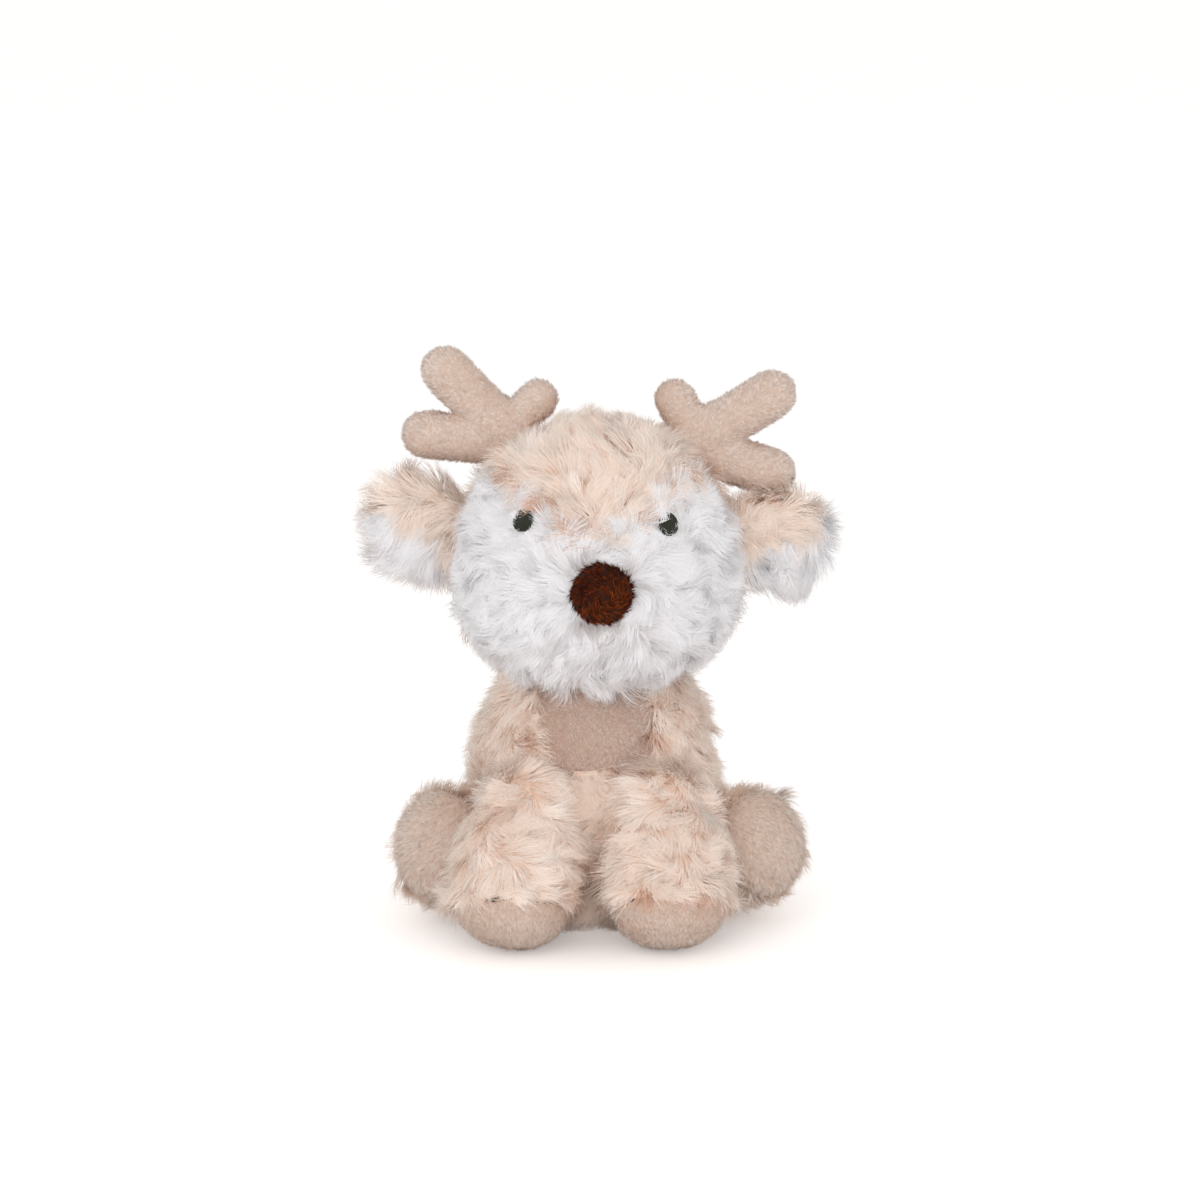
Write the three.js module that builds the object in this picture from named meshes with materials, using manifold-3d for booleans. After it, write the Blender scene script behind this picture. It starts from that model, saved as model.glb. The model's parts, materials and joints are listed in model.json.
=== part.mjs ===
// A sitting plush reindeer: long-pile and short-pile covers over fibre filling.
// Millimetres, +Z up. The toy faces -Y and sits on Z = 0; the origin is the middle of its seat.
// "Left" is the toy's own left, at +X. A cover's outer surface is the middle of its pile.

import * as THREE from 'three';
import { mergeVertices } from 'three/addons/utils/BufferGeometryUtils.js';
import Module from 'manifold-3d';

// Fabric and seams
const SEAM_GAP = 0.3; // between neighbouring pieces
const SOCKET_PLAY = 1.2; // a limb's socket in the body over the limb's round root
const HEAD_SOCKET_PLAY = 0.3; // the same for an ear or an antler in the head
const SEAT_PRESS = 0.5; // how deep a stuffed form is pressed flat where it stands
const LONG_PILE = 5; // long-pile cover, fabric and pile together
const SHORT_PILE = 2; // short-pile cover
const PRESSED_COVER = 1.5; // long-pile cover where a limb lies against the body
const GUSSET_THICKNESS = 1.2;

// Body: a pear with a round neck on top
const NECK_RADIUS = 24;
const NECK_HEIGHT = 67; // centre of the round neck, where the head pivots
const BELLY_HEIGHT = 21.5;
const BODY = { width: 70, depth: 63, rise: 58, fullness: 3 };
const NECK_MOUTH_RADIUS = 9; // opening of the body cover into the head
const PELLET_BAG_TOP = 20;
const CHEST_PANEL = { width: 33, bottom: 49, top: 77, recess: 1.5 };

// Head, measured from the neck pivot
const HEAD = { width: 81.5, depth: 74, rise: 47, drop: 31.5, fullness: 2.2 };
const HEAD_HEIGHT = 34.5; // the widest ring of the head
const HEAD_FORWARD = 6;
const MUZZLE = { height: 36, bulge: 4, spread: 16 };
const GUSSET_EDGE_HEIGHT = 9; // rim of the neck gusset
const GUSSET_HOLE_RADIUS = 8;
const MASK = { pointHeight: 49.5, cornerHeight: 69.5, wedgeHalfWidth: 27, seamY: -3 };
const NOSE = { width: 18.4, tallness: 18.4, puff: 4.2, fullness: 2.6, height: 38.5, aside: 2.4 };
const EYE = { width: 6.2, tallness: 7, puff: 1.4, fullness: 2, height: 56.8, spacing: 40.6 };

// Ears and antlers, their roots measured from the neck pivot
const EAR = { width: 29, depth: 11, reach: 14.5, rise: 13, drop: 13, fullness: 2.2, rootRadius: 7 };
const EAR_ROOT = [37.5, 0, 46.5];
const EAR_LEAN = 22; // degrees, top edge forward
const EAR_SEAM_ANGLE = 48; // degrees, how far the lining looks down
const EAR_SEAM_SLANT = 18; // degrees, the seam climbing outward
const EAR_SEAM_RISE = 0; // the seam at the root above the ear's middle line
const EAR_FOLD = 25; // degrees forward and back
const ANTLER_ROOT = [25, 3, 72.5];
const ANTLER_MOUTH_RADIUS = 3;
const ANTLER_FLATNESS = 0.9; // front-to-back thickness of a tine over its width
const ANTLER_BEND = 20; // degrees forward and back
const ANTLER_BEAM = { from: [0, 0], to: [7.5, 6.5], radius: 7.5 }; // ends are [outward, up] from the root
const UPPER_TINE = { from: ANTLER_BEAM.to, to: [22.7, 19], radius: 6.5 };
const LOWER_TINE = { from: [3, 0.5], to: [26.2, -0.6], radius: 6.3 };
const INNER_TINE = { from: [2, 4], to: [-5, 14], radius: 5.2 };

// Limbs: `reach` runs from a limb's pivot to its thickest ring; the root ball turns in the body
const SHOULDER = [20, -33]; // X and Y of a front leg's pivot
const FRONT_LEG = { width: 36, depth: 36, reach: 25, rise: 34, drop: 16, fullness: 2.3, rootRadius: 14 };
const FRONT_LEG_LEAN = 24; // degrees forward
const FRONT_LEG_SWING = 70; // degrees further forward and up
const PAW_HEIGHT = 20; // the toe cap's seam at the toes
const PAW_SEAM_SLOPE = 20; // degrees, falling towards the back
const HIP = [33.5, 6]; // X and Y of a hind leg's pivot
const HIND_LEG = { width: 29, depth: 33, reach: 25, rise: 36, drop: 15, fullness: 2.3, rootRadius: 15 };
const HIND_LEG_PITCH = 20; // degrees, toes up
const HIND_SOLE_REACH = 31; // from the hip to the seam of the sole
const HIND_LEG_SPLAY = 35; // degrees outward
const TAIL = { width: 21, depth: 18, reach: 8, rise: 13, drop: 10, fullness: 2, rootRadius: 8 };
const TAIL_ROOT = [0, 30.5, 22];
const TAIL_PITCH = 25; // degrees up from level
const TAIL_DROOP = 20; // degrees down
const TAIL_LIFT = 12; // degrees up

// The pose of this one toy, in degrees
const HEAD_TURN = -1.5; // towards its left
const HEAD_TILT = 1.2; // its left side lower
const POSE = {
  left: { earLift: 0, antlerLift: -6, tineDroop: 8, frontSplay: 3, hindSplay: 31 },
  right: { earLift: 4, antlerLift: 6, tineDroop: 0, frontSplay: 9, hindSplay: 24 },
};

// Materials
const pile = (color, roughness) => new THREE.MeshStandardMaterial({ color, roughness, metalness: 0 });
const longPile = pile(0xead8cb, 0.95);
const whitePile = pile(0xf1efee, 0.95);
const shortPile = pile(0xcfbaab, 0.9);
const chestPile = pile(0xc4ac9e, 0.9);
const nosePile = pile(0x46200c, 0.85);
const eyeThread = pile(0x3f4437, 0.7);
const fibre = pile(0xf4f3ee, 1);
const bagCloth = pile(0xdcd6c8, 0.9);

const wasm = await Module();
wasm.setup();
const rad = THREE.MathUtils.degToRad;
const X_AXIS = new THREE.Vector3(1, 0, 0);
const Y_AXIS = new THREE.Vector3(0, 1, 0);
const Z_AXIS = new THREE.Vector3(0, 0, 1);
const BLOCK = 300; // larger than the toy: cutting blocks reach past it
const PARING_STEP = 12; // degrees between the poses that a limb is pared for
const BALL_SIDES = 12;
const NECK_SIDES = 18;
const LARGE = { sides: 22, rings: 13 };
const SMALL = { sides: 16, rings: 10 };
const INSIDE = { sides: 14, rings: 8 }; // surfaces that nothing shows

// Solids

// A closed geometry with its shared corners merged and its collapsed triangles dropped, ready to cut.
function solid(geometry) {
  const bare = geometry.clone();
  bare.deleteAttribute('normal');
  bare.deleteAttribute('uv');
  const merged = mergeVertices(bare, 1e-4);
  const corners = merged.index.array;
  const triVerts = [];
  for (let i = 0; i < corners.length; i += 3) {
    const [a, b, c] = [corners[i], corners[i + 1], corners[i + 2]];
    if (a !== b && b !== c && c !== a) triVerts.push(a, b, c);
  }
  return new wasm.Manifold(new wasm.Mesh({
    numProp: 3,
    vertProperties: new Float32Array(merged.attributes.position.array),
    triVerts: new Uint32Array(triVerts),
  }));
}

const join = (first, ...others) => others.reduce((sum, piece) => sum.add(piece), first);
const cut = (piece, ...cutters) => cutters.reduce((rest, cutter) => rest.subtract(cutter), piece);

function named(name, shape, material, origin = [0, 0, 0]) {
  const { vertProperties, triVerts } = shape.getMesh();
  const geometry = new THREE.BufferGeometry();
  geometry.setAttribute('position', new THREE.BufferAttribute(new Float32Array(vertProperties), 3));
  geometry.setIndex(new THREE.BufferAttribute(new Uint32Array(triVerts), 1));
  geometry.translate(-origin[0], -origin[1], -origin[2]);
  geometry.computeVertexNormals();
  const mesh = new THREE.Mesh(geometry, material);
  mesh.name = name;
  mesh.position.set(...origin);
  return mesh;
}

// A stuffed form along +Z from its pivot: a root ball at 0 swells over `rise` to the full oval at `reach`
// and closes `drop` beyond it. The root stays round, so that it can turn in a socket of its size.
// `grow` moves the whole surface outward, or inward where it is negative.
function stuffed({ width, depth, reach = 0, rise, drop, fullness, rootRadius = 0 }, grow, { sides, rings }) {
  const ballRadius = rootRadius ? rootRadius + grow : 0;
  const start = Math.min(-ballRadius, reach - rise - grow);
  const end = reach + drop + grow;
  const ringHeight = (i) => THREE.MathUtils.lerp(start, end, (1 - Math.cos((Math.PI * i) / rings)) / 2);
  const ballAt = (z) => Math.sqrt(Math.max(0, ballRadius ** 2 - z ** 2));
  const swellAt = (z) => {
    const share = Math.abs(z - reach) / ((z < reach ? rise : drop) + grow);
    return Math.max(0, 1 - share ** fullness) ** (1 / fullness);
  };
  const profile = [];
  for (let i = 0; i <= rings; i++) {
    profile.push(new THREE.Vector2(i % rings === 0 ? 0 : 1, ringHeight(i)));
  }
  const geometry = new THREE.LatheGeometry(profile, sides).rotateX(Math.PI / 2);
  const corners = geometry.attributes.position;
  for (let i = 0; i < corners.count; i++) {
    const z = corners.getZ(i);
    corners.setX(i, corners.getX(i) * Math.max(ballAt(z), (width / 2 + grow) * swellAt(z)));
    corners.setY(i, corners.getY(i) * Math.max(ballAt(z), (depth / 2 + grow) * swellAt(z)));
  }
  return geometry;
}

function ball(radius, centre = [0, 0, 0], sides = BALL_SIDES) {
  return solid(new THREE.SphereGeometry(radius, sides, sides / 2).rotateX(Math.PI / 2).translate(...centre));
}

// The corner radius of a faceted ball whose flat facets still clear a ball of the given radius.
function clearRadius(radius, sides = BALL_SIDES) {
  return (radius + SEAM_GAP) / Math.cos(Math.PI / sides) ** 2;
}

function socket(radius, centre) {
  return ball(clearRadius(radius), centre);
}

// A block whose lower face passes through the point, with its own up along the given direction.
function blockBeyond(point, direction) {
  const turn = new THREE.Quaternion().setFromUnitVectors(Z_AXIS, direction);
  return solid(new THREE.BoxGeometry(BLOCK, BLOCK, BLOCK)
    .translate(0, 0, BLOCK / 2)
    .applyQuaternion(turn)
    .translate(...point));
}

// Up, tipped forward by an angle: 90 degrees looks at the viewer, 180 straight down.
function tippedForward(angle) {
  return new THREE.Vector3(0, -Math.sin(rad(angle)), Math.cos(rad(angle)));
}

function postThrough(radius, from, to, sides = 16) {
  return solid(new THREE.CylinderGeometry(radius, radius, to - from, sides)
    .rotateX(Math.PI / 2)
    .translate(0, 0, (from + to) / 2));
}

function nearestCorner(geometry) {
  geometry.computeBoundingBox();
  return geometry.boundingBox.min;
}

const underGround = blockBeyond([0, 0, 0], tippedForward(180));
const sides = [
  { name: 'left', sign: 1 },
  { name: 'right', sign: -1 },
];
const mirrored = (shape, side) => (side.sign > 0 ? shape : shape.mirror([1, 0, 0]));
const onSide = ([x, y, z], side) => [side.sign * x, y, z];

const group = new THREE.Group();

// Body and limb forms

// The body hangs from the neck: its root ball is the round neck that the head turns on.
function bodyForm(grow, facets = LARGE) {
  const size = {
    ...BODY,
    reach: NECK_HEIGHT - BELLY_HEIGHT,
    drop: BELLY_HEIGHT + SEAT_PRESS,
    rootRadius: NECK_RADIUS,
  };
  return solid(stuffed(size, grow, facets).rotateX(Math.PI).translate(0, 0, NECK_HEIGHT));
}

function frontLeg(side, grow, facets) {
  return stuffed(FRONT_LEG, grow, facets)
    .rotateX(Math.PI - rad(FRONT_LEG_LEAN))
    .rotateY(-side.sign * rad(POSE[side.name].frontSplay));
}

function hindLeg(side, grow, facets) {
  return stuffed(HIND_LEG, grow, facets)
    .rotateX(Math.PI / 2 - rad(HIND_LEG_PITCH))
    .rotateZ(side.sign * rad(POSE[side.name].hindSplay));
}

function tail(side, grow, facets) {
  return stuffed(TAIL, grow, facets).rotateX(rad(TAIL_PITCH) - Math.PI / 2);
}

// The pivot's height follows from the leg: its lowest point is pressed flat on the ground.
function standingPivot([x, y], side, leg) {
  return [side.sign * x, y, -nearestCorner(leg(side, 0, SMALL)).z - SEAT_PRESS];
}

for (const side of sides) {
  side.shoulder = standingPivot(SHOULDER, side, frontLeg);
  side.hip = standingPivot(HIP, side, hindLeg);
}

const limbSockets = [
  ...sides.map((side) => socket(FRONT_LEG.rootRadius + SOCKET_PLAY, side.shoulder)),
  ...sides.map((side) => socket(HIND_LEG.rootRadius + SOCKET_PLAY, side.hip)),
  socket(TAIL.rootRadius + SOCKET_PLAY / 2, TAIL_ROOT),
];

// A piece around its root, pared so that it swings about the axis to each angle and meets nothing beside it.
function pared(shape, root, axis, angles, ...beside) {
  const around = beside.map((solidBeside) => solidBeside.translate(root.map((value) => -value)));
  const swung = angles.flatMap((angle) => around.map((other) => other.rotate(axis.map((value) => -value * angle))));
  return cut(shape, ...swung);
}

// The outside of a limb, pared by the body around its root as it swings, and cut by what else lies beside it.
function limbForm(limb, side, pivot, { rootRadius }, axis, angles, ...beside) {
  const body = cut(bodyForm(SEAM_GAP), socket(rootRadius, pivot));
  const clear = pared(solid(limb(side, 0, SMALL)), pivot, axis, angles, body);
  return cut(clear.translate(pivot), underGround, ...beside);
}

// The space inside a limb's cover, whose wall is thin where the limb is pressed against its neighbours.
function limbHollow(limb, side, pivot, { rootRadius }, gap = 0, ...beside) {
  const grow = -LONG_PILE - gap;
  const body = cut(bodyForm(SEAM_GAP + PRESSED_COVER + gap, INSIDE), socket(rootRadius + grow, pivot));
  return cut(solid(limb(side, grow, INSIDE).translate(...pivot)), body, ...beside);
}

// The angles that a limb is pared for: rest, both ends of its range and some between.
function steps(from, to) {
  const angles = [0];
  for (let angle = PARING_STEP; angle < to; angle += PARING_STEP) angles.push(angle);
  for (let angle = -PARING_STEP; angle > from; angle -= PARING_STEP) angles.push(angle);
  return [...new Set([...angles, from, to])];
}

// Body pieces

function panelWindow(grow) {
  const width = CHEST_PANEL.width + 2 * grow;
  const height = CHEST_PANEL.top - CHEST_PANEL.bottom + 2 * grow;
  const middle = (CHEST_PANEL.top + CHEST_PANEL.bottom) / 2;
  return solid(new THREE.BoxGeometry(width, BODY.depth, height).translate(0, -BODY.depth / 2, middle));
}

const UP = tippedForward(0);
const neckMouth = postThrough(NECK_MOUTH_RADIUS, NECK_HEIGHT, NECK_HEIGHT + 2 * NECK_RADIUS);
const bodyHollow = bodyForm(-LONG_PILE, INSIDE);
const bodyStuffing = cut(bodyForm(-LONG_PILE - SEAM_GAP, INSIDE), ...limbSockets);
const bodyCover = cut(bodyForm(0), bodyHollow, neckMouth, panelWindow(SEAM_GAP), underGround, ...limbSockets);
const chestPanel = cut(bodyForm(-CHEST_PANEL.recess).intersect(panelWindow(0)), bodyHollow, ...limbSockets);
const bodyFilling = bodyStuffing.intersect(blockBeyond([0, 0, PELLET_BAG_TOP + SEAM_GAP], UP));
const pelletBag = cut(bodyStuffing, blockBeyond([0, 0, PELLET_BAG_TOP], UP));

group.add(named('body_cover', bodyCover, longPile));
group.add(named('chest_panel', chestPanel, chestPile));
group.add(named('body_filling', bodyFilling, fibre));
group.add(named('pellet_bag', pelletBag, bagCloth));

const tailForm = limbForm(tail, null, TAIL_ROOT, TAIL, [1, 0, 0], steps(-TAIL_DROOP, TAIL_LIFT));
group.add(named('tail', tailForm, longPile, TAIL_ROOT));

for (const side of sides) {
  const { name, shoulder } = side;
  const toesY = shoulder[1] + nearestCorner(frontLeg(side, 0, SMALL)).y;
  const abovePaw = (gap) => blockBeyond([0, toesY, PAW_HEIGHT + gap], tippedForward(-PAW_SEAM_SLOPE));
  const shell = cut(
    limbForm(frontLeg, side, shoulder, FRONT_LEG, [-1, 0, 0], steps(0, FRONT_LEG_SWING)),
    limbHollow(frontLeg, side, shoulder, FRONT_LEG),
  );
  const filling = limbHollow(frontLeg, side, shoulder, FRONT_LEG, SEAM_GAP);
  group.add(named(`front_leg_cover_${name}`, shell.intersect(abovePaw(SEAM_GAP)), longPile, shoulder));
  group.add(named(`front_paw_${name}`, cut(shell, abovePaw(0)), shortPile, shoulder));
  group.add(named(`front_leg_filling_${name}`, filling, fibre, shoulder));
}

for (const side of sides) {
  const { name, hip } = side;
  const alongLeg = Z_AXIS.clone()
    .applyAxisAngle(X_AXIS, Math.PI / 2 - rad(HIND_LEG_PITCH))
    .applyAxisAngle(Z_AXIS, side.sign * rad(POSE[name].hindSplay));
  const beyondSeam = (reach) => {
    const seam = new THREE.Vector3(...hip).addScaledVector(alongLeg, reach);
    return blockBeyond(seam.toArray(), alongLeg);
  };
  const beside = (grow) => solid(frontLeg(side, grow, SMALL).translate(...side.shoulder));
  const pressed = SEAM_GAP + PRESSED_COVER;
  const splay = steps(0, HIND_LEG_SPLAY);
  const shell = cut(
    limbForm(hindLeg, side, hip, HIND_LEG, [0, 0, side.sign], splay, beside(SEAM_GAP)),
    limbHollow(hindLeg, side, hip, HIND_LEG, 0, beside(pressed)),
  );
  const filling = limbHollow(hindLeg, side, hip, HIND_LEG, SEAM_GAP, beside(pressed + SEAM_GAP));
  group.add(named(`hind_leg_cover_${name}`, cut(shell, beyondSeam(HIND_SOLE_REACH - SEAM_GAP)), longPile, hip));
  group.add(named(`hind_sole_${name}`, shell.intersect(beyondSeam(HIND_SOLE_REACH)), shortPile, hip));
  group.add(named(`hind_leg_filling_${name}`, filling, fibre, hip));
}

// The neck gusset: a round of fabric between the neck and the dish under the head

const gussetInside = clearRadius(NECK_RADIUS, NECK_SIDES);
const gussetOutside = gussetInside + GUSSET_THICKNESS;
const neckDish = ball(clearRadius(gussetOutside, NECK_SIDES), undefined, NECK_SIDES);
const neckGusset = cut(
  ball(gussetOutside, undefined, NECK_SIDES).intersect(blockBeyond([0, 0, GUSSET_EDGE_HEIGHT], UP)),
  ball(gussetInside, undefined, NECK_SIDES),
  postThrough(GUSSET_HOLE_RADIUS, 0, 2 * gussetOutside),
);
const neck = new THREE.Group();
neck.position.set(0, 0, NECK_HEIGHT);
neck.add(named('neck_gusset', neckGusset, bagCloth));
group.add(neck);

// Head: its own group, turned and tilted about the neck pivot

const head = new THREE.Group();
head.rotation.set(0, rad(HEAD_TILT), rad(HEAD_TURN));
neck.add(head);

// The head's form, with the muzzle pushed forward around the nose.
function headForm(grow, facets = LARGE) {
  const geometry = stuffed(HEAD, grow, facets).rotateX(Math.PI).translate(0, -HEAD_FORWARD, HEAD_HEIGHT);
  const corners = geometry.attributes.position;
  for (let i = 0; i < corners.count; i++) {
    if (corners.getY(i) > -HEAD_FORWARD) continue;
    const fromMuzzle = Math.hypot(corners.getX(i), corners.getZ(i) - MUZZLE.height);
    const push = MUZZLE.bulge * Math.exp(-((fromMuzzle / MUZZLE.spread) ** 2));
    corners.setY(i, corners.getY(i) - push);
  }
  return solid(geometry);
}

const headSkin = headForm(0);
const aroundHead = headForm(SEAM_GAP);

// The point of the head's front skin at X and Z.
function frontSkin(x, z) {
  const probe = solid(new THREE.BoxGeometry(1, HEAD.depth, 1).translate(x, -HEAD_FORWARD - HEAD.depth / 2, z));
  return new THREE.Vector3(x, probe.intersect(headSkin).boundingBox().min[1], z);
}

// The direction in which the head's oval faces at a point of its skin.
function facing(point) {
  return new THREE.Vector3(
    point.x / (HEAD.width / 2) ** 2,
    (point.y + HEAD_FORWARD) / (HEAD.depth / 2) ** 2,
    (point.z - HEAD_HEIGHT) / HEAD.rise ** 2,
  ).normalize();
}

// The white mask: all of the front below a seam that dips in a point between the eyes.
function maskZone(inset) {
  const top = MASK.cornerHeight - inset;
  const wedge = MASK.wedgeHalfWidth + inset;
  const point = MASK.pointHeight - 2 * inset;
  const dipHeight = (top + point) / 2;
  const outline = new THREE.Shape();
  outline.moveTo(-BLOCK / 2, top);
  outline.lineTo(-wedge, top);
  outline.quadraticCurveTo(-wedge / 2, dipHeight, 0, point);
  outline.quadraticCurveTo(wedge / 2, dipHeight, wedge, top);
  outline.lineTo(BLOCK / 2, top);
  outline.lineTo(BLOCK / 2, -BLOCK / 2);
  outline.lineTo(-BLOCK / 2, -BLOCK / 2);
  outline.closePath();
  return solid(new THREE.ExtrudeGeometry(outline, { depth: BLOCK / 2, bevelEnabled: false, curveSegments: 4 })
    .rotateX(Math.PI / 2)
    .translate(0, MASK.seamY - inset, 0));
}

const headSockets = sides.flatMap((side) => [
  socket(EAR.rootRadius + HEAD_SOCKET_PLAY, onSide(EAR_ROOT, side)),
  socket(ANTLER_BEAM.radius + HEAD_SOCKET_PLAY, onSide(ANTLER_ROOT, side)),
]);
const headShell = cut(headSkin, headForm(-LONG_PILE, INSIDE), neckDish, ...headSockets);
const headFilling = cut(headForm(-LONG_PILE - SEAM_GAP, INSIDE), neckDish, ...headSockets);
head.add(named('head_cover', cut(headShell, maskZone(0)), longPile));
head.add(named('face_mask', headShell.intersect(maskZone(SEAM_GAP)), whitePile));
head.add(named('head_filling', headFilling, fibre));

// A padded patch on the head's skin, facing outward.
function patch(name, { width, tallness, puff, fullness }, x, z, material) {
  const place = frontSkin(x, z);
  const turn = new THREE.Quaternion().setFromUnitVectors(Z_AXIS, facing(place));
  const size = { width, depth: tallness, rise: puff, drop: puff + SEAM_GAP, fullness };
  const shape = solid(stuffed(size, 0, { sides: 12, rings: 6 }).applyQuaternion(turn).translate(...place.toArray()));
  return named(name, cut(shape, aroundHead), material, place.toArray());
}

head.add(patch('nose', NOSE, NOSE.aside, NOSE.height, nosePile));
for (const side of sides) {
  head.add(patch(`eye_${side.name}`, EYE, (side.sign * EYE.spacing) / 2, EYE.height, eyeThread));
}

// Ears: two layers sewn face to face, the lining looking forward and down

const linedSide = tippedForward(90 + EAR_SEAM_ANGLE).applyAxisAngle(Y_AXIS, -rad(EAR_SEAM_SLANT));

function liningZone(gap) {
  const seam = new THREE.Vector3(0, 0, EAR_SEAM_RISE).addScaledVector(linedSide, gap);
  return cut(blockBeyond(seam.toArray(), linedSide), ball(clearRadius(EAR.rootRadius) + gap));
}

for (const side of sides) {
  const root = onSide(EAR_ROOT, side);
  const leaf = solid(stuffed(EAR, 0, SMALL).rotateY(Math.PI / 2).rotateX(rad(EAR_LEAN)));
  const back = cut(leaf, liningZone(0));
  const lining = leaf.intersect(liningZone(SEAM_GAP));
  for (const [name, shape, material] of [['ear_back', back, longPile], ['ear_lining', lining, whitePile]]) {
    const lifted = mirrored(shape.rotate([0, -POSE[side.name].earLift, 0]), side);
    const headBeside = aroundHead.subtract(socket(EAR.rootRadius, root));
    const clear = pared(lifted, root, [0, 0, 1], steps(-EAR_FOLD, EAR_FOLD), headBeside);
    head.add(named(`${name}_${side.name}`, clear.translate(root), material, root));
  }
}

// Antlers: rounded tines in one plane, stuffed, open at the root

function tine({ from, to, radius }, grow, facets, droop = 0) {
  const start = new THREE.Vector3(from[0], 0, from[1]);
  const along = new THREE.Vector3(to[0], 0, to[1]).sub(start).applyAxisAngle(Y_AXIS, rad(droop));
  const turn = new THREE.Quaternion().setFromUnitVectors(Y_AXIS, along.clone().normalize());
  const middle = start.addScaledVector(along, 0.5);
  return solid(new THREE.CapsuleGeometry(radius + grow, along.length(), 3, facets)
    .applyQuaternion(turn)
    .translate(...middle.toArray())
    .scale(1, ANTLER_FLATNESS, 1));
}

function antlerForm(side, grow, facets) {
  return join(
    ...[ANTLER_BEAM, UPPER_TINE, INNER_TINE].map((shape) => tine(shape, grow, facets)),
    tine(LOWER_TINE, grow, facets, POSE[side.name].tineDroop),
  );
}

const antlerMouth = postThrough(ANTLER_MOUTH_RADIUS, -2 * ANTLER_BEAM.radius, 0, 10);

for (const side of sides) {
  const root = onSide(ANTLER_ROOT, side);
  const lifted = (shape) => mirrored(shape.rotate([0, -POSE[side.name].antlerLift, 0]), side);
  const shell = lifted(cut(antlerForm(side, 0, 10), antlerForm(side, -SHORT_PILE, 6), antlerMouth));
  const filling = lifted(antlerForm(side, -SHORT_PILE - SEAM_GAP, 6));
  const headBeside = aroundHead.subtract(socket(ANTLER_BEAM.radius, root));
  const cover = pared(shell, root, [1, 0, 0], steps(-ANTLER_BEND, ANTLER_BEND), headBeside);
  head.add(named(`antler_cover_${side.name}`, cover.translate(root), shortPile, root));
  head.add(named(`antler_filling_${side.name}`, filling.translate(root), fibre, root));
}

export default group;
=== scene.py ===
# %% [markdown]
# # A sitting plush reindeer
# A small soft toy, sewn from long-pile and short-pile fabric and stuffed with fibre. Its shapes come from
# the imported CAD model: each cover there is a simple closed solid. This notebook turns every cover into
# what it is on the toy: a soft backing cloth with thousands of strands of pile standing on it. Lengths are
# in metres, the toy faces -Y, and its own left is at +X.

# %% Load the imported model
import json
import math
import bpy
import numpy as np
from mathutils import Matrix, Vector
from mathutils.bvhtree import BVHTree
from mathutils.kdtree import KDTree


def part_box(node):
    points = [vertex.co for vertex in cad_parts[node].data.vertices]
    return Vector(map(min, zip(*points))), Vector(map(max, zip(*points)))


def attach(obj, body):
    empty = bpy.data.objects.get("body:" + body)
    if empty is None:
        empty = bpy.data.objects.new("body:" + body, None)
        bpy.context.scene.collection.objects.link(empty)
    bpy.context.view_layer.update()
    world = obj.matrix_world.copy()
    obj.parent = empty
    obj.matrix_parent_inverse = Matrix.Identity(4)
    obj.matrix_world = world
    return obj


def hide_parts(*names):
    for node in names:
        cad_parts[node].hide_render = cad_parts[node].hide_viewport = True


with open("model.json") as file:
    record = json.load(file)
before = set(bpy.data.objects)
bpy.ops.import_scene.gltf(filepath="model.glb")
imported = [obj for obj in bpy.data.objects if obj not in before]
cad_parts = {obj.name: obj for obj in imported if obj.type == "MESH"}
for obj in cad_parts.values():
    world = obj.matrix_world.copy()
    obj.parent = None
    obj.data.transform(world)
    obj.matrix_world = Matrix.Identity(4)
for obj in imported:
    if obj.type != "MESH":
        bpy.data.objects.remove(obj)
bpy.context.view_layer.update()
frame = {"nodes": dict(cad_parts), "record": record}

MM = 0.001
scene = bpy.context.scene

# %% [markdown]
# ## The camera
# The toy is photographed from straight in front and slightly above, from about a metre away. A long lens
# at that distance gives the mild perspective that makes the toes look a little larger than the ears.

# %% Place the camera
FRAME_WIDTH = 0.354  # what the picture spans at the toy
CAMERA_DISTANCE = 1.1
CAMERA_ELEVATION = math.radians(12)
LOOK_AT = Vector((0.0015, 0, 0.094))

lens = bpy.data.cameras.new("camera")
lens.sensor_width = 36
lens.lens = lens.sensor_width * CAMERA_DISTANCE / FRAME_WIDTH
lens.clip_start = 0.05
camera = bpy.data.objects.new("camera", lens)
scene.collection.objects.link(camera)
backwards = Vector((0, -math.cos(CAMERA_ELEVATION), math.sin(CAMERA_ELEVATION)))
camera.location = LOOK_AT + CAMERA_DISTANCE * backwards
camera.rotation_euler = (math.pi / 2 - CAMERA_ELEVATION, 0, 0)
scene.camera = camera
print("lens", round(lens.lens, 1), "mm")

# %% [markdown]
# ## Backing cloth
# Under the pile lies a knitted backing that takes the shape of the filling. Each cover's CAD solid is cut
# into flat facets, so a voxel remesh gives it an even mesh and a few rounds of smoothing take the facets
# out. On a long-pile cover the CAD surface is the middle of the pile, so the backing is sunk below it
# wherever it lies open. Where a cover is pressed against a neighbour it stays where it is: a ray along
# each normal measures the room there.

# %% Read and measure meshes
def linked(name, data):
    piece = bpy.data.objects.new(name, data)
    scene.collection.objects.link(piece)
    return piece


def with_modifiers_applied(piece):
    view = bpy.context.evaluated_depsgraph_get()
    mesh = bpy.data.meshes.new_from_object(piece.evaluated_get(view))
    piece.modifiers.clear()
    piece.data = mesh
    return piece


def read(items, name, width=3):
    values = np.empty(len(items) * width, np.float32)
    items.foreach_get(name, values)
    return values.reshape(-1, width).astype(float)


def tree_of(pieces):
    """One search tree over the faces of several pieces."""
    points, faces = [], []
    for piece in pieces:
        start = len(points)
        points.extend(vertex.co.copy() for vertex in piece.data.vertices)
        faces.extend([start + i for i in face.vertices] for face in piece.data.polygons)
    return BVHTree.FromPolygons(points, faces)


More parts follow.
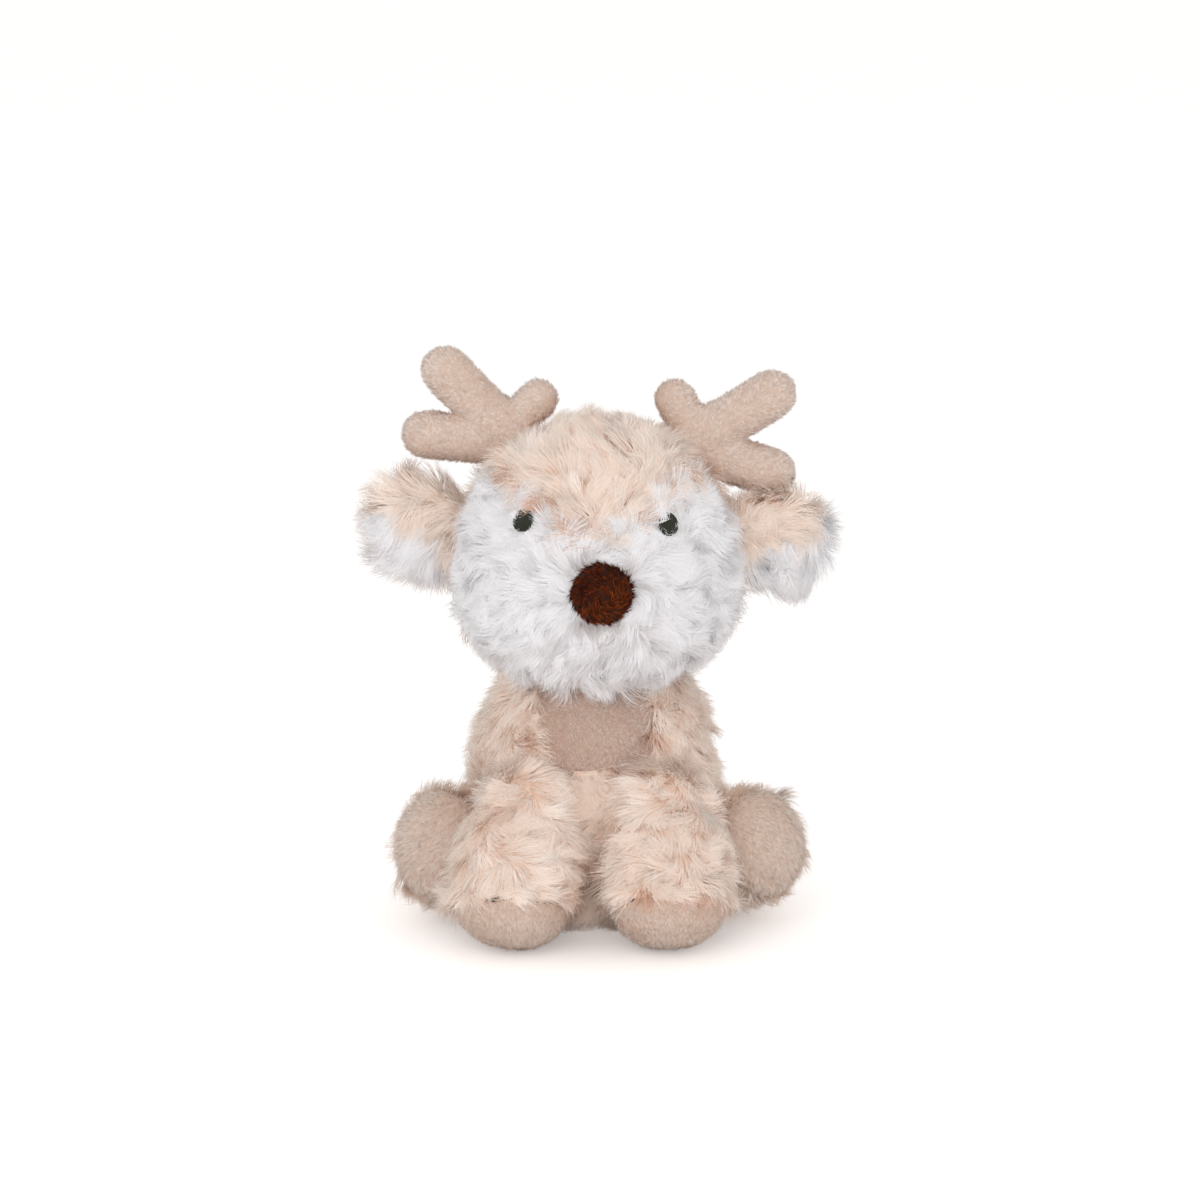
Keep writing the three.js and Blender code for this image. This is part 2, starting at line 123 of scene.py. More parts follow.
def room_above(points, normals, tree, start, reach):
    """How far each point can move along its normal before it meets a face of the tree."""
    room = np.full(len(points), reach)
    for i, (point, normal) in enumerate(zip(points.tolist(), normals.tolist())):
        direction = Vector(normal)
        hit = tree.ray_cast(Vector(point) + direction * start, direction, reach)
        if hit[3] is not None:
            room[i] = hit[3] + start
    return room


# %% Make a backing
cad_tree = tree_of(frame["nodes"].values())
PRESSED, OPEN = 2 * MM, 6 * MM  # the room above a cover that is pressed by a neighbour, and above an open one
WIDEST_SLIT, SEAM_OVERLAP = 1 * MM, 0.15 * MM
ABOVE_COVER = 0.5 * MM  # where rays that measure room start, so that they don't meet the cover itself
SLIT_START, SLIT_REACH = -0.5 * MM, 1.2 * MM  # rays that look for slits start below the cloth


def backing(cover, voxel, sink, smoothing, sewn_to):
    """The cloth of one cover: an even, smooth mesh, sunk below the CAD surface where it lies open, that
    meets the covers it is sewn to without a slit."""
    piece = linked(f"{cover}_backing", frame["nodes"][cover].data.copy())
    even = piece.modifiers.new("even mesh", "REMESH")
    even.mode = "VOXEL"
    even.voxel_size = voxel
    soft = piece.modifiers.new("no facets", "SMOOTH")
    soft.factor = 0.5
    soft.iterations = smoothing
    with_modifiers_applied(piece)
    points = read(piece.data.vertices, "co")
    normals = read(piece.data.vertex_normals, "vector")
    room = room_above(points, normals, cad_tree, ABOVE_COVER, OPEN)
    share = np.clip((room - PRESSED) / (OPEN - PRESSED), 0, 1)
    points -= normals * (sink * share)[:, None]
    if sewn_to:
        slit = room_above(points, normals, tree_of(sewn_to), SLIT_START, SLIT_REACH)
        points += normals * np.where(slit < WIDEST_SLIT, slit + SEAM_OVERLAP, 0)[:, None]
    piece.data.vertices.foreach_set("co", points.astype(np.float32).ravel())
    piece.data.polygons.foreach_set("use_smooth", np.ones(len(piece.data.polygons), bool))
    piece.data.update()
    return piece


# %% [markdown]
# ## Finishes
# Every strand of pile is darker and warmer at its root, where little light arrives, and paler at its tip.
# Strands also differ from lock to lock. Two numbers are stored on each strand when it is made: "along"
# runs from root to tip and stays low on locks that stand in shade, and "tone" tells one lock from the
# next. One node group turns them into a colour, and each fabric gives the group its own four colours. A
# strand that is seen from behind lets light through, so there its colour goes to a translucent shader.

# %% The pile colour group
def colour(red, green, blue):
    """A colour as a picture shows it, turned into the linear light that shaders use."""
    def linear(value):
        value /= 255
        return value / 12.92 if value <= 0.04045 else ((value + 0.055) / 1.055) ** 2.4
    return (linear(red), linear(green), linear(blue), 1)


def group_with(name, inputs, outputs):
    group = bpy.data.node_groups.new(name, "ShaderNodeTree")
    for label, kind in inputs:
        group.interface.new_socket(label, in_out="INPUT", socket_type=kind)
    for label, kind in outputs:
        group.interface.new_socket(label, in_out="OUTPUT", socket_type=kind)
    return group, group.nodes.new("NodeGroupInput"), group.nodes.new("NodeGroupOutput")


def node(tree, kind, **settings):
    made = tree.nodes.new(kind)
    for key, value in settings.items():
        setattr(made, key, value)
    return made


def mixed(tree, factor, first, second):
    mix = node(tree, "ShaderNodeMix", data_type="RGBA")
    tree.links.new(factor, mix.inputs["Factor"])
    tree.links.new(first, mix.inputs["A"])
    tree.links.new(second, mix.inputs["B"])
    return mix.outputs["Result"]


COLOUR = "NodeSocketColor"
pile_colour, given, result = group_with(
    "pile colour",
    [("Root", COLOUR), ("Middle", COLOUR), ("Tip", COLOUR), ("Odd lock", COLOUR)],
    [("Color", COLOUR)],
)
along = node(pile_colour, "ShaderNodeAttribute", attribute_name="along")
tone = node(pile_colour, "ShaderNodeAttribute", attribute_name="tone")
low_part = node(pile_colour, "ShaderNodeMapRange")
low_part.inputs["From Max"].default_value = 0.45
high_part = node(pile_colour, "ShaderNodeMapRange")
high_part.inputs["From Min"].default_value = 0.4
odd_part = node(pile_colour, "ShaderNodeMapRange")
odd_part.inputs["From Min"].default_value = 0.45
odd_part.inputs["To Max"].default_value = 0.8
pile_colour.links.new(along.outputs["Fac"], low_part.inputs["Value"])
pile_colour.links.new(along.outputs["Fac"], high_part.inputs["Value"])
pile_colour.links.new(tone.outputs["Fac"], odd_part.inputs["Value"])
lower = mixed(pile_colour, low_part.outputs[0], given.outputs["Root"], given.outputs["Middle"])
whole = mixed(pile_colour, high_part.outputs[0], lower, given.outputs["Tip"])
final = mixed(pile_colour, odd_part.outputs[0], whole, given.outputs["Odd lock"])
pile_colour.links.new(final, result.inputs["Color"])
print("group:", pile_colour.name)

# %% [markdown]
# Between the strands of short pile the backing shows a little. Knitted loops give it a fine grain, far too
# small to model, so a second group makes it from noise: a colour between two given ones, and a height that
# each cloth turns into bump.

# %% The cloth grain group
VALUE = "NodeSocketFloat"
cloth_grain, given, result = group_with(
    "cloth grain",
    [("Thread", COLOUR), ("Fleck", COLOUR), ("Scale", VALUE)],
    [("Color", COLOUR), ("Height", VALUE)],
)
place = node(cloth_grain, "ShaderNodeTexCoord")
noise = node(cloth_grain, "ShaderNodeTexNoise")
noise.inputs["Detail"].default_value = 3
cloth_grain.links.new(place.outputs["Object"], noise.inputs["Vector"])
cloth_grain.links.new(given.outputs["Scale"], noise.inputs["Scale"])
flecked = mixed(cloth_grain, noise.outputs["Fac"], given.outputs["Thread"], given.outputs["Fleck"])
cloth_grain.links.new(flecked, result.inputs["Color"])
cloth_grain.links.new(noise.outputs["Fac"], result.inputs["Height"])
print("group:", cloth_grain.name)


# %% Fabric materials
def material_with(name, roughness, sheen):
    material = bpy.data.materials.new(name)
    material.use_nodes = True
    shader = material.node_tree.nodes["Principled BSDF"]
    shader.inputs["Roughness"].default_value = roughness
    shader.inputs["Sheen Weight"].default_value = sheen
    shader.inputs["Sheen Roughness"].default_value = 0.5
    shader.inputs["Specular IOR Level"].default_value = 0.2
    return material, material.node_tree, shader


def pile_material(name, roughness=0.85, sheen=0.15, specular=0.3, **colours):
    """The material of one pile, from its colours at the root, in the middle, at the tip and in odd locks."""
    material, tree, shader = material_with(name, roughness, sheen)
    shade = node(tree, "ShaderNodeGroup", node_tree=pile_colour)
    for label, value in colours.items():
        shade.inputs[label.capitalize().replace("_", " ")].default_value = colour(*value)
    tree.links.new(shade.outputs["Color"], shader.inputs["Base Color"])
    shader.inputs["Specular IOR Level"].default_value = specular
    through = node(tree, "ShaderNodeBsdfTranslucent")
    tree.links.new(shade.outputs["Color"], through.inputs["Color"])
    seen_from = node(tree, "ShaderNodeNewGeometry")
    both = node(tree, "ShaderNodeMixShader")
    tree.links.new(seen_from.outputs["Backfacing"], both.inputs["Fac"])
    tree.links.new(shader.outputs["BSDF"], both.inputs[1])
    tree.links.new(through.outputs["BSDF"], both.inputs[2])
    tree.links.new(both.outputs["Shader"], tree.nodes["Material Output"].inputs["Surface"])
    return material


def cloth_material(name, thread, fleck, scale=900):
    """Backing cloth: the colour of the pile's roots, broken up by a fine grain."""
    material, tree, shader = material_with(name, 0.9, 0.1)
    grain = node(tree, "ShaderNodeGroup", node_tree=cloth_grain)
    grain.inputs["Thread"].default_value = colour(*thread)
    grain.inputs["Fleck"].default_value = colour(*fleck)
    grain.inputs["Scale"].default_value = scale
    tree.links.new(grain.outputs["Color"], shader.inputs["Base Color"])
    bump = node(tree, "ShaderNodeBump")
    bump.inputs["Strength"].default_value = 0.4
    bump.inputs["Distance"].default_value = 0.3 * MM
    tree.links.new(grain.outputs["Height"], bump.inputs["Height"])
    tree.links.new(bump.outputs["Normal"], shader.inputs["Normal"])
    return material


# The darker, warmer root colours are painted shade: the shade deep in the pile, which the strands themselves
# don't cast.
cream_pile = pile_material(
    "cream long pile",
    root=(184, 128, 94), middle=(229, 210, 197), tip=(237, 224, 214), odd_lock=(243, 234, 227),
)
white_pile = pile_material(
    "white long pile",
    root=(206, 198, 195), middle=(230, 228, 229), tip=(236, 235, 237), odd_lock=(240, 240, 242),
)
tan_pile = pile_material(
    "tan short pile",
    root=(180, 140, 114), middle=(214, 196, 184), tip=(224, 211, 202), odd_lock=(230, 218, 211),
)
antler_pile = pile_material(
    "antler short pile",
    root=(192, 138, 104), middle=(219, 204, 194), tip=(229, 218, 211), odd_lock=(235, 225, 219),
)
chest_pile = pile_material(
    "chest short pile",
    root=(172, 142, 125), middle=(200, 181, 170), tip=(211, 195, 186), odd_lock=(217, 203, 195),
)
nose_pile = pile_material(
    "nose short pile", roughness=0.8, sheen=0, specular=0.1,
    root=(22, 6, 2), middle=(66, 22, 5), tip=(128, 54, 14), odd_lock=(150, 74, 26),
)
cream_cloth = cloth_material("cream backing", (222, 190, 168), (236, 212, 196))
white_cloth = cloth_material("white backing", (232, 227, 225), (242, 239, 238))
tan_cloth = cloth_material("tan backing", (196, 170, 154), (208, 186, 171))
chest_cloth = cloth_material("chest backing", (176, 147, 130), (190, 163, 148))
nose_cloth = cloth_material("nose backing", (36, 13, 5), (62, 24, 9))
print("materials:", len(bpy.data.materials))


# %% [markdown]
# ## Pile
# Real pile stands up from the backing, bends over and gathers into soft locks. Each strand here is a
# narrow tapering ribbon of a few faces, which costs far less than a tube and looks the same at this size.
# Everything is worked out for all strands of a piece at once, and every random number comes from a fixed
# seed. First come the roots: points spread evenly over the backing, with the helpers that measure there.

# %% Where strands stand
def unit(vectors):
    return vectors / np.maximum(np.linalg.norm(vectors, axis=1, keepdims=True), 1e-12)


def along_surface(vectors, normals):
    """The part of each vector that lies in the surface."""
    return vectors - normals * (vectors * normals).sum(axis=1, keepdims=True)


def scattered(piece, per_square_mm, rng):
    """Points spread evenly over a piece, with the surface's normals there."""
    mesh = piece.data
    mesh.calc_loop_triangles()
    corners = read(mesh.loop_triangles, "vertices").astype(int)
    points = read(mesh.vertices, "co")
    normals = read(mesh.vertex_normals, "vector")
    a, b, c = points[corners[:, 0]], points[corners[:, 1]], points[corners[:, 2]]
    area = np.linalg.norm(np.cross(b - a, c - a), axis=1) / 2
    count = int(per_square_mm * area.sum() / MM**2)
    chosen = corners[rng.choice(len(corners), count, p=area / area.sum())]
    share = rng.dirichlet((1, 1, 1), count)
    return (
        np.einsum("ij,ijk->ik", share, points[chosen]),
        unit(np.einsum("ij,ijk->ik", share, normals[chosen])),
    )


WAVES, WAVE_PACE, WAVE_SUM = 7, 0.6, 2.6  # how many waves drift adds up, how fast they turn and their sum
LEAST_FACING = 0.15  # a bare place is ahead if the cosine of the angle to it is more than this
BARE_EDGE = 1 * MM  # closer than this, pile heeds a bare place that isn't ahead


def drift(points, size, seed):
    """A smooth random value, about -1 to 1, that changes over the given distance."""
    rng = np.random.default_rng(seed)
    waves = rng.normal(size=(WAVES, 3)) * (2 * math.pi / size) * WAVE_PACE
    shift = rng.uniform(0, 2 * math.pi, WAVES)
    return np.sin(points @ waves.T + shift).sum(axis=1) / WAVE_SUM


def nearest(points, centres):
    """For each point, which of the centres lies nearest."""
    tree = KDTree(len(centres))
    for i, centre in enumerate(centres.tolist()):
        tree.insert(centre, i)
    tree.balance()
    return np.array([tree.find(point)[1] for point in points.tolist()])


def bare_ahead(bare, points, ahead, reach):
    """How far pile can lie ahead before it covers something that shows bare."""
    allowed = np.full(len(points), reach)
    for i, (point, direction) in enumerate(zip(points.tolist(), ahead.tolist())):
        place, _, _, distance = bare.find_nearest(Vector(point), reach)
        if place is not None:
            towards = (place - Vector(point)).normalized().dot(Vector(direction))
            if towards > LEAST_FACING or distance < BARE_EDGE:
                allowed[i] = distance / max(towards, LEAST_FACING)
    return allowed


# %% [markdown]
# ## The two kinds of pile
# Angles are in degrees. `rise` is the slope of a strand where it leaves the cloth and where it ends. The
# way it is brushed turns slowly over the surface by `swirl`, from lock to lock by `stray` and from strand to
# strand by `scatter`. `curl` is a sideways wave, and `gather` says how far the tips of a lock draw together.
# `per_lock` strands share a lock of about `lock_size`.
# Pile that meets a bare place may pass its edge by `least_hang`, and a few locks by up to `hang` more.
# `crease` is the painted shade that darkens the rim of each lock, `fleck` and `odd` are the spread of tone
# among strands and locks, `root_light` is the painted light at a root, and `deepest` is the least painted
# light that a shaded lock gets.

# %% Describe the two kinds of pile
LONG = {
    "per_square_mm": 6, "per_lock": 90, "steps": 3,
    "length": 8.5 * MM, "width": 0.22 * MM, "lock_size": 2.4 * MM,
    "rise": (60, 4), "swirl": 75, "stray": 24, "scatter": 12, "curl": 0.8 * MM, "gather": 0.5,
    "least_hang": 1.8 * MM, "hang": 6 * MM,
    "crease": 0.2, "fleck": 0.04, "odd": 0.13, "root_light": 0.35, "deepest": 0.3,
}
SHORT = {
    "per_square_mm": 9, "per_lock": 8, "steps": 2,
    "length": 1.4 * MM, "width": 0.15 * MM, "lock_size": 0.5 * MM,
    "rise": (58, 20), "swirl": 35, "stray": 22, "scatter": 12, "curl": 0.1 * MM, "gather": 0.35,
    "crease": 0.3, "fleck": 0.07, "odd": 0.05, "root_light": 0.3, "deepest": 0.3,
}
RAY_START = 0.3 * MM  # rays start this far above the cloth, so that they don't meet it
LEAST_ROOM = 0.6 * MM  # pile needs at least this between its cloth and a neighbour
LEAST_FIT, LEAST_LENGTH = 0.45, 0.8 * MM  # how short pile gets for want of room, and near bare places
ROOT_DEPTH = 0.25 * MM  # roots start a little inside the cloth
PRESSED_FLAT = 0.2 * MM  # pile between the toy and the floor lies flat on the floor
THIN_WALL = 4 * MM  # a wall with filling nearer than this in front of it is the inside of a cover
TURN_SIZE, TONE_SIZE = 18 * MM, 14 * MM  # the distances over which brushing and tone drift
OUTLOOK = 20 * MM  # a lock with something nearer than this in front of it stands in shade
CONE_RAYS, CONE_UP, CONE_OUT = 8, 0.6, 0.8  # the cone of rays that looks for it
LIGHT_GAIN, LIGHT_POWER = 1.3, 1.6  # how the openness of a lock turns into light
MIDDLE_TONE, TONE_DRIFT = 0.42, 0.17
LENGTH_BY_LOCK, LENGTH_BY_STRAND = 0.15, 0.12  # shares of the length
SLOPE_BY_STRAND = 6  # degrees


# %% [markdown]
# ## Locks
# Strands near each other share a lock: they lean the same way and draw together towards its tip. Where a
# neighbour is pressed close the pile is short and flat, and where it meets short pile, an eye or the nose
# it stops near the seam, apart from a few locks that hang over it. A lock deep between two limbs gets
# little light: rays in a wide cone over it measure how open it lies.

# %% Root the strands and group them in locks
def open_share(points, normals, solids):
    """How open each place lies, from 0 to 1: how far rays in a wide cone go before they meet something."""
    seen = np.zeros(len(points))
    side = unit(np.cross(normals, (0.3, 0.5, 0.8)))
    other = np.cross(normals, side)
    for turn in np.linspace(0, 2 * math.pi, CONE_RAYS, endpoint=False):
        outward = side * math.cos(turn) + other * math.sin(turn)
        ray = unit(CONE_UP * normals + CONE_OUT * outward)
        seen += room_above(points + normals * MM, ray, solids, RAY_START, OUTLOOK) / OUTLOOK
    return seen / CONE_RAYS


def rooted(piece, s, solids, inner, where, rng):
    """The roots of a pile, the normals there and the room above them. None stand on inner walls."""
    thinned = 1
    roots, normals = scattered(piece, s["per_square_mm"] * thinned, rng)
    room = room_above(roots, normals, solids, RAY_START, s["length"])
    grown = room > LEAST_ROOM
    if inner:
        grown &= room_above(roots, normals, inner, -1 * MM, THIN_WALL) >= THIN_WALL
    if where:
        grown &= where(roots)
    locks = max(1, int(grown.sum() / thinned / s["per_lock"]))
    return roots[grown], normals[grown], room[grown], locks


def brushed_ahead(roots, normals, comb, s, lock, locks, seed, rng):
    """The way each strand lies along the surface."""
    brushed = unit(along_surface(comb(roots), normals))
    turn = np.radians(
        s["swirl"] * drift(roots, TURN_SIZE, seed + 1)
        + (s["stray"] * rng.normal(size=locks))[lock]
        + s["scatter"] * rng.normal(size=len(roots))
    )[:, None]
    return brushed * np.cos(turn) + np.cross(normals, brushed) * np.sin(turn)


def lengths(roots, ahead, fit, s, bare, lock, locks, rng):
    """The length of each strand: less where room is short, and cut off near places that show bare."""
    by_lock = (1 + LENGTH_BY_LOCK * rng.normal(size=locks))[lock]
    length = s["length"] * fit * by_lock * (1 + LENGTH_BY_STRAND * rng.normal(size=len(roots)))
    if bare:
        allowed = bare_ahead(bare, roots, ahead, s["length"])
        hang = s["least_hang"] + s["hang"] * (rng.uniform(0, 1, locks) ** 3)[lock]
        length = np.minimum(length, np.maximum(allowed + hang, LEAST_LENGTH))
    return length


def slope(angle, spread, lock, locks, rng):
    """The slope of each strand, which differs a little from lock to lock and from strand to strand."""
    by_lock = (spread * rng.normal(size=locks))[lock]
    return np.radians(angle + by_lock + SLOPE_BY_STRAND * rng.normal(size=len(lock)))


# %% Shape the strands
TIP_PULL = 1.3  # the tips of a lock draw together more than its middles
TWIST = 0.8  # how far at most a ribbon is turned about its own line, in radians
SHADED_AS_RIBBON, SHADED_AS_CLOTH, SHADED_AS_LOCK = 0.08, 0.65, 0.5  # what a strand's normal is made of


def centre_lines(roots, normals, ahead, length, start_angle, end_angle, steps):
    """Points along every strand, step by step from its root to its tip."""
    place = roots - normals * ROOT_DEPTH
    rings = [place]
    for step in range(1, steps + 1):
        t = (step - 0.5) / steps
        angle = (start_angle * (1 - t) + end_angle * t)[:, None]
        place = place + (ahead * np.cos(angle) + normals * np.sin(angle)) * (length / steps)[:, None]
        rings.append(place)
    return rings


def ribbons(rings, normals, upward, to_lock, gather, s):
    """The two edges and the tip of every strand, and normals that shade each lock as one soft form."""
    count, steps = len(rings), s["steps"]
    directions = unit((rings[:, 1:] - rings[:, :-1]).reshape(-1, 3)).reshape(count, steps, 3)
    width = s["width"] * 1
    points, facings = [], []
    for step in range(steps + 1):
        t = step / steps
        across = unit(np.cross(directions[:, min(step, steps - 1)], upward))
        side = -to_lock * (1 - gather * t**TIP_PULL) / s["lock_size"]
        side /= np.maximum(1, np.linalg.norm(side, axis=1, keepdims=True))
        facing = unit(SHADED_AS_RIBBON * upward + SHADED_AS_CLOTH * normals + SHADED_AS_LOCK * side)
        half = across * width / 2 * (1 - 0.12 * t - 0.88 * t**3)
        if step < steps:
            points += [rings[:, step] - half, rings[:, step] + half]
            facings += [facing, facing]
        else:
            points.append(rings[:, step])
            facings.append(facing)
    return np.stack(points, axis=1), np.stack(facings, axis=1)


# %% Grow a pile
def grow(name, piece, kind, comb, solids, bare, inner, seed, where=None, **changes):
    """Pile on a piece. `comb` gives, for an array of points, the way the pile is brushed there. No pile
    grows on walls that face the `inner` solids."""
    s = {**kind, **changes}
    rng = np.random.default_rng(seed)
    roots, normals, room, locks = rooted(piece, s, solids, inner, where, rng)
    count = len(roots)
    lock_roots = rng.choice(count, locks, replace=False)
    lock = nearest(roots, roots[lock_roots])

    ahead = brushed_ahead(roots, normals, comb, s, lock, locks, seed, rng)
    aside = np.cross(normals, ahead)
    fit = np.clip(room / s["length"], LEAST_FIT, 1)
    length = lengths(roots, ahead, fit, s, bare, lock, locks, rng)
    flatter = fit * np.clip(0.3 + length / s["length"], 0.4, 1)
    start_angle = slope(s["rise"][0], 10, lock, locks, rng) * flatter
    end_angle = slope(s["rise"][1], 12, lock, locks, rng)
    curl = s["curl"] * fit * rng.normal(size=locks)[lock]
    phase = rng.uniform(0, 2 * math.pi, locks)[lock]
    waves = rng.uniform(0.5, 1.1, locks)[lock]
    gather = (s["gather"] * rng.uniform(0.4, 1.4, locks))[lock][:, None]
    to_lock = along_surface(roots[lock_roots][lock] - roots, normals)

    steps = s["steps"]
    rings = centre_lines(roots, normals, ahead, length, start_angle, end_angle, steps)
    for step in range(steps + 1):
        t = step / steps
        bend = (curl * (np.sin(2 * math.pi * waves * t + phase) - np.sin(phase)) * t)[:, None]
        rings[step] = rings[step] + aside * bend + to_lock * gather * t**TIP_PULL
    rings = np.stack(rings, axis=1)
    rings[:, :, 2] = np.maximum(rings[:, :, 2], PRESSED_FLAT)
    twist = rng.uniform(-TWIST, TWIST, count)[:, None]
    upward = normals * np.cos(twist) + aside * np.sin(twist)
    points, facings = ribbons(rings, normals, upward, to_lock, gather, s)

    # Painted shade at the rim of each lock, where locks part: there more of the dark root colour shows.
    edge = np.clip(np.linalg.norm(to_lock, axis=1) / s["lock_size"], 0, 1)
    # Painted shade on sheltered locks, as between two limbs: the less open a lock lies, the lower its `along`
    # and the more of its dark root colour shows.
    openness = open_share(roots[lock_roots], normals[lock_roots], solids)
    light = np.clip(LIGHT_GAIN * openness**LIGHT_POWER, s["deepest"], 1)[lock]
    depth = (1 - s["crease"] * edge**2) * light
    tone = MIDDLE_TONE + TONE_DRIFT * drift(roots, TONE_SIZE, seed + 2)
    tone = tone + (s["odd"] * rng.normal(size=locks))[lock] + s["fleck"] * rng.normal(size=count)
    return ribbon_mesh(name, points, facings, np.clip(tone, 0.01, 0.99), depth, steps, s["root_light"])


# %% Build the mesh of a pile
def ribbon_mesh(name, points, facings, tone, depth, steps, root_light):
    """One mesh of all strands. Its UV map is made of tone and along, so a baked picture of it stays small."""
    count, per_strand = points.shape[:2]
    quads = [[2 * k, 2 * k + 1, 2 * k + 3, 2 * k + 2] for k in range(steps - 1)]
    tip = [2 * steps - 2, 2 * steps - 1, 2 * steps]
    corners = np.array(sum(quads, []) + tip)
    loops = (np.arange(count)[:, None] * per_strand + corners).ravel().astype(np.int32)
    starts = np.array([4 * k for k in range(steps)])
    mesh = bpy.data.meshes.new(name)
    mesh.vertices.add(count * per_strand)
    mesh.loops.add(len(loops))
    mesh.polygons.add(count * steps)
    mesh.vertices.foreach_set("co", points.astype(np.float32).ravel())
    mesh.loops.foreach_set("vertex_index", loops)
    face_starts = (np.arange(count)[:, None] * len(corners) + starts).ravel().astype(np.int32)
    mesh.polygons.foreach_set("loop_start", face_starts)
    mesh.polygons.foreach_set("use_smooth", np.ones(count * steps, bool))
    mesh.update()
    heights = np.array([root_light + (1 - root_light) * (k // 2 / steps) for k in range(per_strand)])
    along_value = (depth[:, None] * heights).ravel()
    tones = np.repeat(tone, per_strand)
    for label, values in [("tone", tones), ("along", along_value)]:
        mesh.attributes.new(label, "FLOAT", "POINT").data.foreach_set("value", values.astype(np.float32))
    layer = mesh.uv_layers.new(name="OFBake")
    layer.data.foreach_set("uv", np.stack([tones[loops], along_value[loops] * 0.98 + 0.01], axis=1)
                           .astype(np.float32).ravel())
    mesh.normals_split_custom_set_from_vertices(facings.reshape(-1, 3).tolist())
    print(f"{name}: {count} strands, {count * (2 * steps - 1)} triangles")
    return linked(name, mesh)


# %% [markdown]
# ## Covers
# Each cover becomes two pieces, its backing and its pile, which ride on the same body. Soles and antlers
# are stuffed so tight that they stand out beyond their flat pattern. The two halves of an ear are thin:
# sunk as deep as the other long-pile covers, they would pass each other.

# %% Make every backing
SIDES = {"left": 1, "right": -1}
LONG_SINK, SHORT_SINK, EAR_SINK, PADDED_SINK = 2.2 * MM, 0.6 * MM, 0.6 * MM, -0.8 * MM
LONG_VOXEL, SHORT_VOXEL = 1.6 * MM, 1.0 * MM


def on_both_sides(*parts):
    return [f"{part}_{side}" for part in parts for side in SIDES]


long_covers = ["head_cover", "face_mask", "body_cover", "tail"]
long_covers += on_both_sides("ear_back", "ear_lining", "front_leg_cover", "hind_leg_cover")
short_covers = ["chest_panel", "nose", *on_both_sides("antler_cover", "front_paw", "hind_sole")]
bodies = frame["record"]["behaviour"]["bodies"]
body_of_node = {member: body for body, members in bodies.items() for member in members}
slot_of_node = {entry["node"]: entry["material_slot"] for entry in frame["record"]["subparts"]}


def sewn_to(name):
    """The covers of the same body, which share seams with this one."""
    return [frame["nodes"][other] for other in long_covers + short_covers
            if other != name and body_of_node[other] == body_of_node[name]]


backings = {}
for name in long_covers:
    sink = EAR_SINK if "ear" in name else LONG_SINK
    backings[name] = backing(name, LONG_VOXEL, sink, 8, sewn_to(name))
for name in short_covers:
    sink = PADDED_SINK if "sole" in name or "antler" in name else SHORT_SINK
    backings[name] = backing(name, SHORT_VOXEL, sink, 6, sewn_to(name))
for name, piece in backings.items():
    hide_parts(name)
    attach(piece, body_of_node[name])
print("backings:", len(backings))

# %% Give each backing its cloth
cloth_of_slot = {
    "long_pile": cream_cloth, "white_pile": white_cloth, "short_pile": tan_cloth,
    "chest_pile": chest_cloth, "nose_pile": nose_cloth,
}
pile_of_slot = {
    "long_pile": cream_pile, "white_pile": white_pile, "short_pile": tan_pile,
    "chest_pile": chest_pile, "nose_pile": nose_pile,
}
for name, piece in backings.items():
    piece.data.materials.clear()
    piece.data.materials.append(cloth_of_slot[slot_of_node[name]])
print("cloths:", sorted(cloth_of_slot))

# %% [markdown]
# ## Brushing
# A comb is a function that gives, for an array of points, the way the pile is brushed there: away from the
# nose on the face, back over the crown and down the nape, down the body and legs, out along the ears. It
# could be painted on each mesh by hand, but a short rule fits any mesh and stays right if a shape changes.

# %% Kinds of comb
NOSE = np.array((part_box("nose")[0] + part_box("nose")[1]) / 2)
ABOVE_NOSE = NOSE + (0, 0, 10 * MM)
DOWN = np.array((0.0, 0, -1))
HEAD_BACK = 25 * MM  # how far behind the neck the pile falls most steeply
INWARD = 25  # how strongly the pile leans inward, for each metre from the middle


def brushed_towards(direction):
    return lambda points: np.broadcast_to(np.array(direction, float), points.shape)


def away_from(centre, fall):
    return lambda points: unit(points - np.array(centre)) + DOWN * fall


def over_the_head(points):
    """Away from the nose, back over the crown and ever more steeply down the nape."""
    behind = np.clip(points[:, 1:2] / HEAD_BACK, 0, 1)
    return unit(points - ABOVE_NOSE) + DOWN * (0.25 + 0.8 * behind)


def down_and_inward(points):
    """Down the body, and a little over the sides of the chest panel."""
    return DOWN + points * (-INWARD, 0, 0)


def around_the_nose(points):
    """The nap of the nose turns round its middle and runs outward."""
    outward = points - NOSE
    return unit(np.cross(outward, (0.0, 1, 0.2))) + 0.6 * unit(outward)


# %% Comb every cover
combs = {
    "head_cover": over_the_head,
    "face_mask": away_from(NOSE, 0.35),
    "body_cover": down_and_inward,
    "tail": brushed_towards((0, 1, 0.1)),
    "chest_panel": brushed_towards((0.1, -0.2, -1)),
    "nose": around_the_nose,
}
for side, sign in SIDES.items():
    combs[f"ear_back_{side}"] = brushed_towards((0.7 * sign, -0.8, -0.4))
    combs[f"ear_lining_{side}"] = brushed_towards((0.5 * sign, -0.1, -1))
    combs[f"antler_cover_{side}"] = brushed_towards((sign, -0.1, 0.5))
    combs[f"front_leg_cover_{side}"] = brushed_towards((0.2 - 0.25 * sign, -0.25, -1))
    combs[f"front_paw_{side}"] = brushed_towards((0, -0.5, -1))
    combs[f"hind_leg_cover_{side}"] = brushed_towards((0, -1, -0.3))
    combs[f"hind_sole_{side}"] = brushed_towards((0.3 * sign, 0, -1))
print("combs:", len(combs))

# %% [markdown]
# ## Seams between white and cream
# The CAD pieces follow the line where white meets cream only roughly. Here it is drawn as the front shows
# it. On the face mask and the ear linings, pile grows cream instead of white beyond that line. A colour mask
# on one pile would do it too, but two piles let cream locks fall over white ones, as at a sewn seam.

